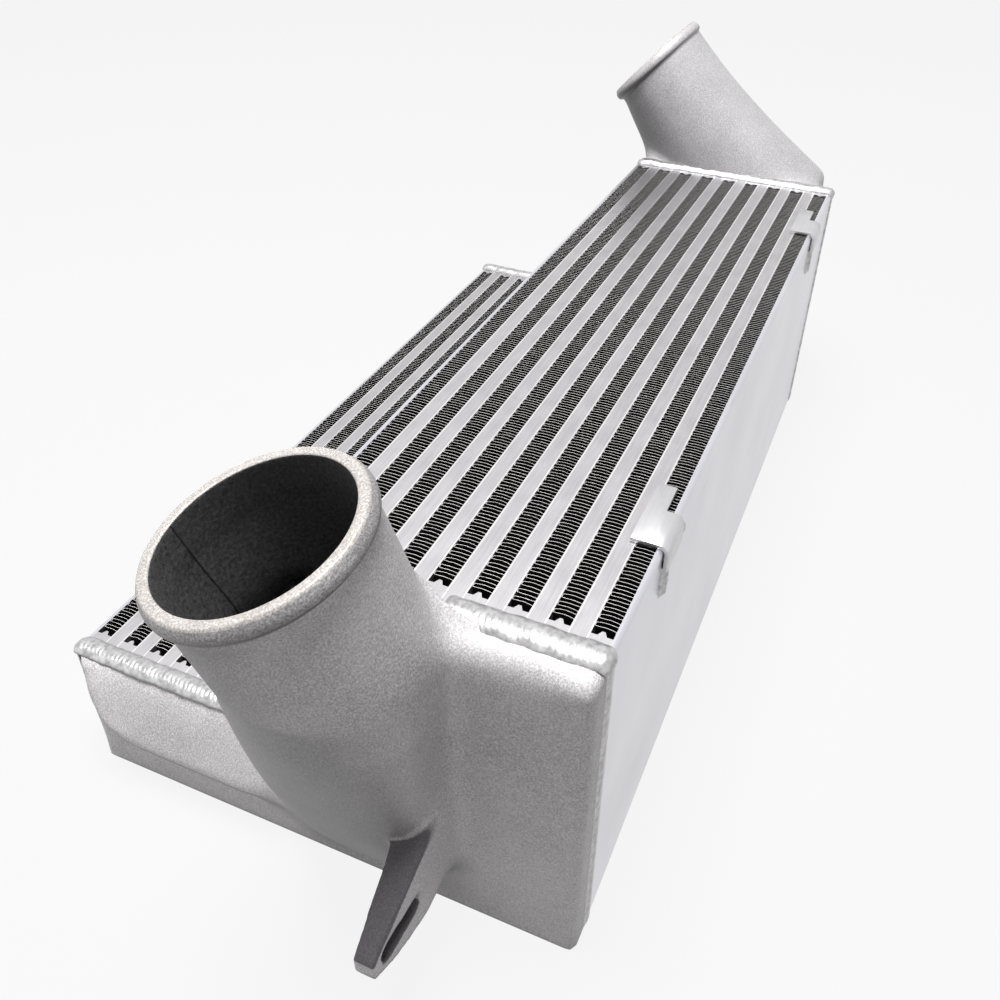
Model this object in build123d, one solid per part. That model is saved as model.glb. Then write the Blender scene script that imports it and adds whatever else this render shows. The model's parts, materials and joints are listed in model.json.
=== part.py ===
from build123d import *
import math
import os

# A stepped bar-and-plate intercooler, in millimetres.
# X runs along the core, Y across the stack of passages, Z through its thickness.
# The origin is on the underside at mid-length, in the middle of the first charge passage of the
# thin part. The main block lies on the -Y side of the step and the thin part on the +Y side.

# Core
core_length = 520.0
main_thickness = 193.0
thin_thickness = 69.3
main_passages = 9
thin_passages = 8
ambient_gap = 9.4
charge_gap = 6.85
sheet = 0.8
side_plate = 3.0
step_plate = 2.0
end_bar = 10.0
nose_height = 2.4
nose_width = 4.0
long_bar = 9.0

# Folded fins. Every fifth fold of the ambient and the charge fins is drawn.
fin_spacing = 14.2
fin_gauge = 0.7
fin_recess = 0.6
fin_end_clearance = 1.0
charge_fin_spacing = 18.0

# End tanks
tank_depth = 18.0
tank_wall = 4.0
tank_top_radius = 8.0
tank_side_radius = 5.0
wing_top_radius = 17.0
wing_taper = 16.0
pad_proud = 5.0
pad_height = 48.0
pad_lip = 9.0
pad_corner = 36.0
pad_overlap = 12.0

# Concave web that carries the inlet pipe's flank down to its tank's top
saddle_radius = 60.0
saddle_turn = 50.0
saddle_from_plate = 31.5
saddle_sink = 1.0
saddle_back = 5.0
saddle_taper = 45.0

# Pipe ends
bead_height = 2.4
bead_root = 1.5
bead_land = 3.0
bead_slope = 2.4
bead_setback = 0.8

# Mounting lug on each tank
lug_reach = 72.0
lug_root_height = 60.0
lug_tip_height = 20.0
lug_root_width = 20.0
lug_tip_width = 10.0
lug_base = 42.0
lug_from_edge = 59.0
slot_length = 30.0
slot_width = 10.0
slot_from_tip = 21.0
slot_rise = 1.0
lug_tip_rise = 26.0
lug_lean = 2.0

# Hook brackets on the main block's side plate
bracket_gauge = 2.3
bracket_length = 42.0
bracket_leg_length = 24.0
bracket_reach = 13.3
bracket_tongue = 9.6
bracket_bend = 2.8
bracket_standoff = 0.5
bracket_drop = 12.0
bracket_near_from_end = 67.0
bracket_far_from_end = 92.0

# Welds
weld_width = 13.0
weld_height = 3.2
weld_side_height = 1.2
weld_centre = 1.5
tack_length = 18.0
tack_width = 6.0
tack_taper = 25.0

half_core = core_length / 2
pitch = ambient_gap + charge_gap + 2 * sheet
half_layer = charge_gap / 2 + sheet
passages = main_passages + thin_passages
plate_edge_radius = bracket_bend - bracket_standoff
bracket_starts = (bracket_near_from_end - half_core, half_core - bracket_far_from_end)


def ambient_low(index):
    """Low Y side of an ambient passage, counted from the main block's side plate."""
    return -half_layer - ambient_gap + (index - main_passages + 1) * pitch


def thickness_at(index, full_passages):
    return main_thickness if index < full_passages else thin_thickness


right_y = ambient_low(0) - side_plate
left_y = ambient_low(passages - 1) + ambient_gap + side_plate
step_y = -half_layer + step_plate


def slab(x_low, x_high, y_low, y_high, z_low, z_high):
    size = (x_high - x_low, y_high - y_low, z_high - z_low)
    return Pos(x_low, y_low, z_low) * Box(*size, align=(Align.MIN, Align.MIN, Align.MIN))


def zigzag(start, end, low, high, spacing, gauge):
    """Outline of a folded sheet whose folds touch the lines low and high."""
    walls = max(2, round((end - start) / spacing))
    step = (end - start) / walls
    lower, upper = [], []
    for i in range(walls + 1):
        centre = low if i % 2 == 0 else high - gauge
        lower.append((start + i * step, centre))
        upper.append((start + i * step, centre + gauge))
    return make_face(Polyline(*lower, *reversed(upper), close=True))


def ambient_fin(index):
    low = ambient_low(index)
    thickness = thickness_at(index, main_passages)
    reach = half_core - end_bar - nose_height - fin_end_clearance
    outline = zigzag(-reach, reach, low, low + ambient_gap, fin_spacing, fin_gauge)
    return Pos(0, 0, fin_recess) * extrude(outline, thickness - 2 * fin_recess)


def charge_layer(index):
    """Low Y side and thickness of a charge passage, between its parting sheets."""
    low = ambient_low(index) + ambient_gap + sheet
    return low, thickness_at(index, main_passages - 1)


def charge_bars(index):
    low, thickness = charge_layer(index)
    bottom = slab(-half_core, half_core, low, low + charge_gap, 0, long_bar)
    top = slab(-half_core, half_core, low, low + charge_gap, thickness - long_bar, thickness)
    return Compound([bottom, top])


def charge_fin(index):
    low, thickness = charge_layer(index)
    outline = zigzag(long_bar, thickness - long_bar, low, low + charge_gap, charge_fin_spacing, fin_gauge)
    across = Plane(origin=(-half_core + end_bar, 0, 0), x_dir=(0, 0, 1), z_dir=(1, 0, 0))
    turned = across * mirror(outline, Plane.XZ)
    return extrude(turned, core_length - 2 * end_bar, dir=(1, 0, 0))


def parting_sheets(indices):
    solids = []
    for index in indices:
        low, thickness = charge_layer(index)
        solids.append(slab(-half_core, half_core, low - sheet, low, 0, thickness))
        solids.append(slab(-half_core, half_core, low + charge_gap, low + charge_gap + sheet, 0, thickness))
    return Compound(solids)


def end_bar_solid(index, side):
    """Bar that closes an ambient passage, with a nose that points at the fins."""
    low = ambient_low(index)
    middle = low + ambient_gap / 2
    inner = half_core - end_bar
    nose = inner - nose_height
    outline = Polyline(
        (side * half_core, low),
        (side * inner, low),
        (side * inner, middle - nose_width / 2),
        (side * nose, middle - nose_width / 6),
        (side * nose, middle + nose_width / 6),
        (side * inner, middle + nose_width / 2),
        (side * inner, low + ambient_gap),
        (side * half_core, low + ambient_gap),
        close=True,
    )
    return extrude(make_face(outline), thickness_at(index, main_passages), dir=(0, 0, 1))


def end_bars(side):
    return Compound([end_bar_solid(index, side) for index in range(passages)])


def stepped_face(x, side_grow, top_grow, under_grow):
    """The core's end seen along X, grown outwards at its sides, its tops and its underside."""
    outline = Polyline(
        (right_y - side_grow, -under_grow),
        (left_y + side_grow, -under_grow),
        (left_y + side_grow, thin_thickness + top_grow),
        (step_y + side_grow, thin_thickness + top_grow),
        (step_y + side_grow, main_thickness + top_grow),
        (right_y - side_grow, main_thickness + top_grow),
        close=True,
    )
    return Plane(origin=(x, 0, 0), x_dir=(0, 1, 0), z_dir=(1, 0, 0)) * make_face(outline)


def stepped_block(x_low, x_high, grow=0.0):
    return extrude(stepped_face(x_low, grow, grow, grow), x_high - x_low, dir=(1, 0, 0))


# Each hood stands on its tank's end face and bends into a round pipe. Its slices run from a foot near
# the underside up to the top of the main block, and then to the spigot. Distances named front and back
# are counted outwards from the core's end, and middle from the main block's side plate. The rim's centre
# is counted outwards from the core's end, from that side plate, and up from the main block's top.
inlet = {
    "side": -1,
    "bore_radius": 38.6,
    "spigot": 20.0,
    "rim": (44.0, 120.125, 57.5),
    "faces": (-0.17, 0.25, 0.95),
    "front": 78.6,
    "back": -6.4,
    "foot_middle": 109.0,
    "foot_half_wide": 46.0,
    "top_middle": 103.5,
    "top_half_wide": 43.5,
    "saddle": True,
}
outlet = {
    "side": 1,
    "bore_radius": 35.1,
    "spigot": 12.0,
    "rim": (39.0, 164.525, 72.8),
    "faces": (0.0, 0.725, 0.689),
    "front": 68.0,
    "back": -3.0,
    "foot_middle": 80.0,
    "foot_half_wide": 66.0,
    "top_middle": 86.0,
    "top_half_wide": 76.0,
    "saddle": False,
}
hood_foot = 12.0
hood_foot_proud = 1.5
hood_back_gap = 2.0
hood_swell = 5.0
hood_levels = (0.0, 0.5, 1.0)
hood_foot_power = 3.5
hood_top_power = 2.1


def superellipse(plane, half_wide, half_high, power, count=12):
    """Closed curve between an ellipse, at power 2, and a rectangle, at a large power."""
    points = []
    for i in range(count):
        turn = 2 * math.pi * i / count
        across, up = math.cos(turn), math.sin(turn)
        points.append((
            half_wide * math.copysign(abs(across) ** (2 / power), across),
            half_high * math.copysign(abs(up) ** (2 / power), up),
        ))
    return plane * make_face(Spline(*points, periodic=True))


def pipe_plane(origin, normal):
    """Plane across a pipe, with its own x direction as near to row Y as it goes."""
    normal = Vector(normal).normalized()
    y_axis = Vector(0, 1, 0)
    return Plane(origin=origin, x_dir=y_axis - normal * y_axis.dot(normal), z_dir=normal)


def between(low, high, share):
    return low + (high - low) * share


def hood_slice(pipe, level, inset):
    """Level slice of a hood, where level runs from 0 at its foot to 1 at the main block's top."""
    swell = 4 * hood_swell * level * (1 - level)
    front = between(tank_depth + hood_foot_proud, pipe["front"], level) + swell - inset
    back = (pipe["back"] if level == 1 else hood_back_gap) + inset
    middle = right_y + between(pipe["foot_middle"], pipe["top_middle"], level)
    half_wide = between(pipe["foot_half_wide"], pipe["top_half_wide"], level) - inset
    height = between(hood_foot, main_thickness, level)
    if level == 0:
        height += inset
    centre = (pipe["side"] * (half_core + (front + back) / 2), middle, height)
    power = between(hood_foot_power, hood_top_power, level)
    return superellipse(pipe_plane(centre, (0, 0, 1)), half_wide, (front - back) / 2, power)


def pipe_radius(pipe):
    return pipe["bore_radius"] + tank_wall


def rim_centre(pipe):
    outwards, from_plate, above = pipe["rim"]
    return Vector(pipe["side"] * (half_core + outwards), right_y + from_plate, main_thickness + above)


def hood(pipe, inset, past_rim=0.0):
    """The run from the tank's end face to the rim, inset all round by a wall."""
    faces = Vector(*pipe["faces"]).normalized()
    rim = rim_centre(pipe)
    radius = pipe_radius(pipe) - inset
    slices = [hood_slice(pipe, level, inset) for level in hood_levels]
    spigot_root = superellipse(pipe_plane(rim - faces * pipe["spigot"], faces), radius, radius, 2)
    spigot_end = superellipse(pipe_plane(rim + faces * past_rim, faces), radius, radius, 2)
    return loft(slices) + loft([slices[-1], spigot_root], ruled=True) + loft([spigot_root, spigot_end], ruled=True)


def tank_block(side, inset):
    """The shallow stepped box welded to the core's end, inset on every wall but the open one."""
    near = side * half_core
    far = side * (half_core + tank_depth - inset)
    block = stepped_block(min(near, far), max(near, far), -inset)
    block = rounded_block(block, side, inset)
    taper = Polyline(
        (near, left_y - inset),
        (far, left_y - inset - wing_taper),
        (far, left_y + wing_taper),
        (near, left_y + wing_taper),
        close=True,
    )
    return block - extrude(make_face(taper), main_thickness, dir=(0, 0, 1))


def rounded_block(block, side, inset):
    """The block with its end face's outer edges rounded. Inside, the wing's wall alone follows its round."""
    end_x = side * (half_core + tank_depth - inset)
    rounds = [(lambda edge: abs(edge.center().Z - thin_thickness + inset) < 0.01, wing_top_radius - inset)]
    if inset == 0:
        rounds.append((lambda edge: abs(edge.center().Z - main_thickness) < 0.01, tank_top_radius))
        rounds.append((lambda edge: abs(edge.center().Y - right_y) < 0.01, tank_side_radius))
    for chosen, radius in rounds:
        on_end = block.edges().filter_by(lambda edge: abs(edge.center().X - end_x) < 0.01)
        block = fillet(on_end.filter_by(chosen), radius)
    return block


def wing_pad(side):
    """Pillow on the thin part's end, with a quarter-round lower corner."""
    root = half_core + tank_wall
    end = half_core + tank_depth
    proud = end + pad_proud
    crown = thin_thickness
    foot = crown - pad_height
    lip = foot + pad_lip
    profile = make_face([
        Line((root, foot), (end, foot)),
        ThreePointArc((end, foot), (end + 0.8 * pad_proud, foot + 0.3 * pad_lip), (proud, lip)),
        EllipticalCenterArc((root, lip), proud - root, crown - lip, 0, arc_size=90),
        Line((root, crown), (root, foot)),
    ])
    inner_y = step_y - pad_overlap
    outer_y = left_y - wing_taper
    length = outer_y - inner_y
    bar = extrude(Plane(origin=(0, inner_y, 0), x_dir=(1, 0, 0), z_dir=(0, -1, 0)) * profile, -length)
    front = make_face([
        Line((inner_y, foot), (outer_y - pad_corner, foot)),
        EllipticalCenterArc((outer_y - pad_corner, crown), pad_corner, crown - foot, 270, arc_size=90),
        Line((outer_y, crown), (inner_y, crown)),
        Line((inner_y, crown), (inner_y, foot)),
    ])
    across = Plane(origin=(root, 0, 0), x_dir=(0, 1, 0), z_dir=(1, 0, 0))
    pad = bar & extrude(across * front, proud - root, dir=(1, 0, 0))
    return pad if side > 0 else mirror(pad, Plane.YZ)


def bead(pipe):
    """Raised ring near the rim, which holds the hose on."""
    inner = pipe_radius(pipe) - bead_root
    outer = pipe_radius(pipe) + bead_height
    front = -bead_setback
    profile = Polyline(
        (inner, front),
        (outer, front - bead_slope),
        (outer, front - bead_slope - bead_land),
        (inner, front - 2 * bead_slope - bead_land),
        close=True,
    )
    ring = revolve(Plane.XZ * make_face(profile), Axis.Z)
    return pipe_plane(rim_centre(pipe), pipe["faces"]) * ring


def lug(side):
    """Cast ear with a slot, standing out of the tank's end face."""
    root = half_core + tank_depth - tank_wall
    end = half_core + tank_depth
    tip = end + lug_reach
    low = lug_base
    high = lug_base + lug_root_height
    tip_middle = low + lug_tip_rise
    side_view = make_face(Polyline(
        (root, low),
        (end + 0.3 * lug_reach, low + 0.06 * lug_root_height),
        (tip - 0.2 * lug_reach, low + 0.2 * lug_root_height),
        (tip, tip_middle - lug_tip_height / 4),
        (tip, tip_middle + lug_tip_height / 4),
        (tip - 0.12 * lug_reach, tip_middle + lug_tip_height / 2),
        (end + 0.3 * lug_reach, high - 0.05 * lug_root_height),
        (root, high),
        close=True,
    ))
    middle = right_y + lug_from_edge + lug_root_width / 2
    plan = make_face(Polyline(
        (root, middle - lug_root_width / 2),
        (tip, middle - lug_tip_width / 2 - lug_lean),
        (tip, middle + lug_tip_width / 2 - lug_lean),
        (root, middle + lug_root_width / 2),
        close=True,
    ))
    upright = Plane(origin=(0, middle + lug_root_width, 0), x_dir=(1, 0, 0), z_dir=(0, -1, 0))
    plate = extrude(upright * side_view, 2 * lug_root_width) & extrude(plan, main_thickness, dir=(0, 0, 1))
    slot_middle = (tip - slot_from_tip, middle + lug_root_width, tip_middle + slot_rise)
    slot_plane = Plane(origin=slot_middle, x_dir=(1, 0, 0), z_dir=(0, -1, 0))
    plate -= extrude(slot_plane * SlotOverall(slot_length, slot_width), 2 * lug_root_width)
    return plate if side > 0 else mirror(plate, Plane.YZ)


def saddle(pipe):
    """Web with a concave crest, which slopes down from its crest to the tank's end face."""
    start_y = right_y + saddle_from_plate
    start_z = main_thickness - saddle_sink

    def on_crest(degrees):
        turn = math.radians(degrees)
        return start_y + saddle_radius * math.sin(turn), start_z + saddle_radius * (1 - math.cos(turn))

    end_y, end_z = on_crest(saddle_turn)
    inner_y = right_y + pipe["top_middle"]
    low_z = main_thickness - saddle_radius / 2
    profile = make_face([
        ThreePointArc((start_y, start_z), on_crest(saddle_turn / 2), (end_y, end_z)),
        Line((end_y, end_z), (inner_y, end_z)),
        Line((inner_y, end_z), (inner_y, low_z)),
        Line((inner_y, low_z), (start_y, low_z)),
        Line((start_y, low_z), (start_y, start_z)),
    ])
    across = Plane(origin=(half_core + saddle_back, 0, 0), x_dir=(0, 1, 0), z_dir=(1, 0, 0))
    web = extrude(across * profile, tank_depth - saddle_back, taper=saddle_taper)
    return web if pipe["side"] > 0 else mirror(web, Plane.YZ)


def tank_envelope(pipe):
    """The tank's outer form, without its bead and lug."""
    side = pipe["side"]
    core = stepped_block(-half_core, half_core)
    envelope = tank_block(side, 0) + (hood(pipe, 0) - core) + wing_pad(side)
    return envelope + saddle(pipe) if pipe["saddle"] else envelope


def tank(pipe, envelope):
    side = pipe["side"]
    core = stepped_block(-half_core, half_core)
    cavity = hood(pipe, tank_wall, 1.0) - core
    return envelope + bead(pipe) + lug(side) - tank_block(side, tank_wall) - cavity


def tank_weld(side, envelope):
    """Ridge of weld round the joint between a tank and the core, flush at the underside."""
    middle = side * (half_core + weld_centre)
    slope = math.degrees(math.atan2(weld_height, weld_width / 2))
    section = stepped_face(middle, weld_side_height, weld_height, 0)
    ridge = extrude(section, weld_width / 2, both=True, taper=slope)
    return ridge - stepped_block(-half_core, half_core) - envelope


def rounded_plate(plate, outer_y):
    """Side plate with its long outer edges rounded, as deep as a bracket's bend needs."""
    long_edges = plate.edges().filter_by(Axis.X)
    return fillet(long_edges.filter_by(lambda edge: abs(edge.center().Y - outer_y) < 0.01), plate_edge_radius)


def side_plates():
    main = slab(-half_core, half_core, right_y, right_y + side_plate, 0, main_thickness)
    thin = slab(-half_core, half_core, left_y - side_plate, left_y, 0, thin_thickness)
    return {
        "side_plate_main": rounded_plate(main, right_y),
        "side_plate_thin": rounded_plate(thin, left_y),
        "step_plate": slab(-half_core, half_core, step_y - step_plate, step_y, thin_thickness, main_thickness),
    }


def bracket(x_low):
    """Strip bent over the top edge of the side plate, with its far corner notched out."""
    outer = bracket_bend + bracket_gauge
    leg_y = right_y - bracket_standoff
    bend_y = leg_y + bracket_bend
    bend_z = main_thickness - bracket_bend
    edge_y = bend_y + bracket_reach
    profile = make_face([
        Line((edge_y, main_thickness), (edge_y, main_thickness + bracket_gauge)),
        Line((edge_y, main_thickness + bracket_gauge), (bend_y, main_thickness + bracket_gauge)),
        RadiusArc((bend_y, main_thickness + bracket_gauge), (bend_y - outer, bend_z), -outer),
        Line((bend_y - outer, bend_z), (bend_y - outer, main_thickness - bracket_drop)),
        Line((bend_y - outer, main_thickness - bracket_drop), (leg_y, main_thickness - bracket_drop)),
        Line((leg_y, main_thickness - bracket_drop), (leg_y, bend_z)),
        RadiusArc((leg_y, bend_z), (bend_y, main_thickness), bracket_bend),
        Line((bend_y, main_thickness), (edge_y, main_thickness)),
    ])
    across = Plane(origin=(x_low, 0, 0), x_dir=(0, 1, 0), z_dir=(1, 0, 0))
    strip = extrude(across * profile, bracket_length, dir=(1, 0, 0))
    notch = slab(
        x_low + bracket_leg_length, x_low + bracket_length,
        bend_y - outer - 1, edge_y - bracket_tongue,
        main_thickness - bracket_drop - 1, main_thickness + bracket_gauge + 1,
    )
    return strip - notch


def tack(x_middle, top, length):
    """Short weld bead standing on the main side plate."""
    proud = bracket_standoff + bracket_gauge
    plane = Plane(origin=(x_middle, right_y, top - length / 2), x_dir=(0, 0, 1), z_dir=(0, -1, 0))
    foot = chamfer(Rectangle(length, tack_width).vertices(), tack_width / 3)
    return extrude(plane * foot, proud, taper=tack_taper)


def bracket_welds():
    beads = []
    for x_low in bracket_starts:
        beads.append(tack(x_low + tack_width / 2 + 1, main_thickness - bracket_drop, tack_length))
        beads.append(tack(x_low + bracket_leg_length + tack_width / 2, main_thickness - bracket_bend, tack_width * 1.5))
    return Compound(beads)


def build_nodes():
    nodes = {}
    for index in range(passages):
        nodes[f"ambient_fin_{index + 1:02d}"] = ambient_fin(index)
    for index in range(passages - 1):
        nodes[f"charge_bars_{index + 1:02d}"] = charge_bars(index)
    nodes["charge_fins_main"] = Compound([charge_fin(i) for i in range(main_passages - 1)])
    nodes["charge_fins_thin"] = Compound([charge_fin(i) for i in range(main_passages - 1, passages - 1)])
    nodes["parting_sheets_main"] = parting_sheets(range(main_passages - 1))
    nodes["parting_sheets_thin"] = parting_sheets(range(main_passages - 1, passages - 1))
    nodes["end_bars_inlet"] = end_bars(-1)
    nodes["end_bars_outlet"] = end_bars(1)
    nodes.update(side_plates())
    for name, pipe in (("inlet", inlet), ("outlet", outlet)):
        envelope = tank_envelope(pipe)
        nodes[f"{name}_tank"] = tank(pipe, envelope)
        nodes[f"{name}_tank_weld"] = tank_weld(pipe["side"], envelope)
    for name, x_low in zip(("bracket_near", "bracket_far"), bracket_starts):
        nodes[name] = bracket(x_low)
    nodes["bracket_welds"] = bracket_welds()
    return nodes


os.makedirs("parts", exist_ok=True)
for name, shape in build_nodes().items():
    export_step(shape, f"parts/{name}.step")
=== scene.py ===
import bpy
import json
import math
from mathutils import Matrix, Vector, noise

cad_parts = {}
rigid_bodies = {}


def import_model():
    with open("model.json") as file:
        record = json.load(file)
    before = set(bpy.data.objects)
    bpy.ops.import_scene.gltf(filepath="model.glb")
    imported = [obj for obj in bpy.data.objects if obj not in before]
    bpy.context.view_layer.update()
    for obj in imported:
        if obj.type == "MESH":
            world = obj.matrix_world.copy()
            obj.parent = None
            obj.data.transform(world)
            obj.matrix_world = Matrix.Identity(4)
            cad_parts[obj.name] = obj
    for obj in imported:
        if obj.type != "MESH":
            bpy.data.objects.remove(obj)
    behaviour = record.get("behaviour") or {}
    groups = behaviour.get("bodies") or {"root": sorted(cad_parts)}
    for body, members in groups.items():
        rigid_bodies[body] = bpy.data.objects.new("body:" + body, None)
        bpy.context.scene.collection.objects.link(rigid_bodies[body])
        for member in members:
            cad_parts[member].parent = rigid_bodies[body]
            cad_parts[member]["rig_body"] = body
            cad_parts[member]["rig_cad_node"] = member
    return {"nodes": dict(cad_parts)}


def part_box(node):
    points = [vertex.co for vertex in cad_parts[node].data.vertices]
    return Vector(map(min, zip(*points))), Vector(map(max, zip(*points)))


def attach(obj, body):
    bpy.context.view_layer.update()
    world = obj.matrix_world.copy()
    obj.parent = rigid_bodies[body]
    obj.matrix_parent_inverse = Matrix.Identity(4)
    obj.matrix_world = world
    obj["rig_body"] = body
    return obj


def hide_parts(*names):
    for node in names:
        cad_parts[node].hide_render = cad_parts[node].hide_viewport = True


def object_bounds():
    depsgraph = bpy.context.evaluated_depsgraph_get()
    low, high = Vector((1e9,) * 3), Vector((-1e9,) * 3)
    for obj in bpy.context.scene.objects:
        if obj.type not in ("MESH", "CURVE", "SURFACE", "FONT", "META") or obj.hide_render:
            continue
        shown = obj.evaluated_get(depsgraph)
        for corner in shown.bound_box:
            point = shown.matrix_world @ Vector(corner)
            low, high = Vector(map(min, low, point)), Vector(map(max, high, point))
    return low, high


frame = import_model()
cadBox = [list(corner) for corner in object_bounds()]
print("frame loaded:", len(frame["nodes"]), "nodes")

mm = 0.001
# points nearer than this are one, in a CAD node's copy and in a drawn mesh
near = {"node": 0.002 * mm, "drawn": 0.01 * mm}

# what the pieces share with the core, in metres
core = {
    "halfLength": 260 * mm,
    "tankFace": 278 * mm,  # each tank's end face, from mid-length
    "mainTop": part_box("side_plate_main")[1].z,
    "thinTop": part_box("side_plate_thin")[1].z,
    "rightSide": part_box("side_plate_main")[0].y,
    "leftSide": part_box("side_plate_thin")[1].y,
    "stepSide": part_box("step_plate")[1].y,
}

# the two pipes: rim centre, the way the rim faces, the hood below it as in the castings, and the skins that
# their castings show, the inlet's with a painted shadow on its lug
pipes = {
    "inlet": {
        "side": -1, "bore": 38.6 * mm, "spigot": 20 * mm,
        "rim": Vector((-304, -39.3, 250.5)) * mm, "faces": Vector((-0.17, 0.25, 0.95)).normalized(),
        "front": 78.6 * mm, "back": -6.4 * mm,
        "footMiddle": 109 * mm, "footHalfWide": 46 * mm, "topMiddle": 103.5 * mm, "topHalfWide": 43.5 * mm,
        "skins": ("tank", "bore", "rim", "lugSkin", "beadSkin"),
    },
    "outlet": {
        "side": 1, "bore": 35.1 * mm, "spigot": 12 * mm,
        "rim": Vector((299, 5.1, 265.8)) * mm, "faces": Vector((0, 0.725, 0.689)).normalized(),
        "front": 68 * mm, "back": -3 * mm,
        "footMiddle": 80 * mm, "footHalfWide": 66 * mm, "topMiddle": 86 * mm, "topHalfWide": 76 * mm,
        "skins": ("farTank", "bore", "rim"),
    },
}


def clamp01(value):
    return max(0.0, min(1.0, value))


def smooth01(value):
    value = clamp01(value)
    return value * value * (3 - 2 * value)


def fadeIn(value, start, length):
    return smooth01((value - start) / length)


def mixValues(low, high, share):
    return low + (high - low) * share


# materials

def hexColour(code):
    channels = [int(code[i:i + 2], 16) / 255 for i in (1, 3, 5)]
    return tuple(c / 12.92 if c <= 0.04045 else ((c + 0.055) / 1.055) ** 2.4 for c in channels) + (1.0,)


def addNode(tree, kind, settings=None, links=None):
    node = tree.nodes.new(kind)
    for key, value in (settings or {}).items():
        if key == "stops":
            elements = node.color_ramp.elements
            while len(elements) < len(value):
                elements.new(0.5)
            for element, (place, code) in zip(elements, value):
                element.position, element.color = place, hexColour(code)
        elif isinstance(key, str) and hasattr(node, key):
            setattr(node, key, value)
        else:
            node.inputs[key].default_value = value
    for key, socket in (links or {}).items():
        tree.links.new(socket, node.inputs[key])
    return node


def startMaterial(name, settings):
    material = bpy.data.materials.new(name)
    material.use_nodes = True
    tree = material.node_tree
    shader = tree.nodes["Principled BSDF"]
    for key, value in settings.items():
        shader.inputs[key].default_value = value
    return material, tree, shader, addNode(tree, "ShaderNodeTexCoord").outputs["Object"]


def finishMaterial(tree, shader, colour, bump=None):
    result = colour.outputs[2] if "Result" in colour.outputs else colour.outputs["Color"]
    tree.links.new(result, shader.inputs["Base Color"])
    if bump:
        tree.links.new(bump.outputs["Normal"], shader.inputs["Normal"])


def scaleFor(sizeMm):
    return 1 / (sizeMm * mm)


# Sand-cast aluminium, shot-blasted: the shot leaves fine dimples that catch the light one by one, over the
# slow grey clouds of the sand skin. A face is painted darker the more it looks down: painted shade of light
# from above. The real dimples are about 0.3 mm, drawn at 0.8 mm so that they show. Where a start for the
# lug's painted shadow is given, the upper faces beyond it are painted darker: it starts at a normal Z of 0.15
# and is full from 0.4.
def makeCastAluminium(name, darkCode, paleCode, bumpMm=0.17, metallic=0.08, roughness=0.52, contrast=1.0,
                      paintedShadowFrom=None):
    material, tree, shader, place = startMaterial(name, {"Metallic": metallic, "Roughness": roughness})
    clouds = addNode(tree, "ShaderNodeTexNoise", {"Scale": scaleFor(38), "Detail": 5.0, "Roughness": 0.65},
                     {"Vector": place})
    grain = addNode(tree, "ShaderNodeTexNoise", {"Scale": scaleFor(0.8), "Detail": 3.0, "Roughness": 0.8},
                    {"Vector": place})
    base = addNode(tree, "ShaderNodeValToRGB", {"stops": [(0.32, darkCode), (0.68, paleCode)]},
                   {"Fac": clouds.outputs["Fac"]})
    speckle = addNode(tree, "ShaderNodeValToRGB",
                      {"stops": [(0.37, "#808080"), (0.5, "#bcbcbc"), (0.63, "#f6f6f6")]},
                      {"Fac": grain.outputs["Fac"]})
    geometry = addNode(tree, "ShaderNodeNewGeometry")
    normal = addNode(tree, "ShaderNodeSeparateXYZ", links={"Vector": geometry.outputs["Normal"]})
    # painted shade: the colour is multiplied darker the more a face looks down, as if lit from above
    upward = addNode(tree, "ShaderNodeMath", {"operation": "MULTIPLY_ADD", 1: 0.5, 2: 0.5},
                     {0: normal.outputs["Z"]})
    blasted = addNode(tree, "ShaderNodeValToRGB",
                      {"stops": [(0.3, "#7c7c7c"), (0.41, "#bebebe"), (0.5, "#f4f4f4"), (0.7, "#ffffff")]},
                      {"Fac": upward.outputs[0]})
    speckled = addNode(tree, "ShaderNodeMix", {"data_type": "RGBA", "blend_type": "OVERLAY", 0: contrast},
                       {6: base.outputs["Color"], 7: speckle.outputs["Color"]})
    shaded = addNode(tree, "ShaderNodeMix", {"data_type": "RGBA", "blend_type": "MULTIPLY", 0: 1.0},
                     {6: speckled.outputs[2], 7: blasted.outputs["Color"]})
    # painted shadow: the lug's upper faces, past the tank's end face, are multiplied darker
    if paintedShadowFrom is not None:
        fade = 14 * mm
        parts = addNode(tree, "ShaderNodeSeparateXYZ", links={"Vector": place})
        reach = addNode(tree, "ShaderNodeMath", {"operation": "ABSOLUTE"}, {0: parts.outputs["X"]})
        outward = addNode(tree, "ShaderNodeMath", {"operation": "MULTIPLY_ADD", "use_clamp": True,
                                                   1: 1 / fade, 2: -paintedShadowFrom / fade}, {0: reach.outputs[0]})
        upper = addNode(tree, "ShaderNodeMath", {"operation": "MULTIPLY_ADD", "use_clamp": True,
                                                 1: 4.0, 2: -0.6}, {0: normal.outputs["Z"]})
        paintedShadowMask = addNode(tree, "ShaderNodeMath", {"operation": "MULTIPLY"},
                          {0: outward.outputs[0], 1: upper.outputs[0]})
        shaded = addNode(tree, "ShaderNodeMix",
                         {"data_type": "RGBA", "blend_type": "MULTIPLY", 7: hexColour("#6c6a6d")},
                         {0: paintedShadowMask.outputs[0], 6: shaded.outputs[2]})
    bump = addNode(tree, "ShaderNodeBump", {"Distance": bumpMm * mm, "Strength": 0.9},
                   {"Height": grain.outputs["Fac"]})
    finishMaterial(tree, shader, shaded, bump)
    return material


# Inside of the bore: the sand core's rough skin, painted far darker than the casting, partly its own darker
# tone and partly painted shade inside the pipe, with a few bright grains and the line where the core's two
# halves met. The line lies where the distance across it, with its wander, is nought.
seam = {
    "start": pipes["inlet"]["rim"],
    "across": Vector((-0.985, -0.073, -0.157)),
    "along": Vector((-0.03, 0.965, -0.259)),
    "wander": 1.2 * mm,
    "halfWidth": 0.4 * mm,
}


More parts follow.
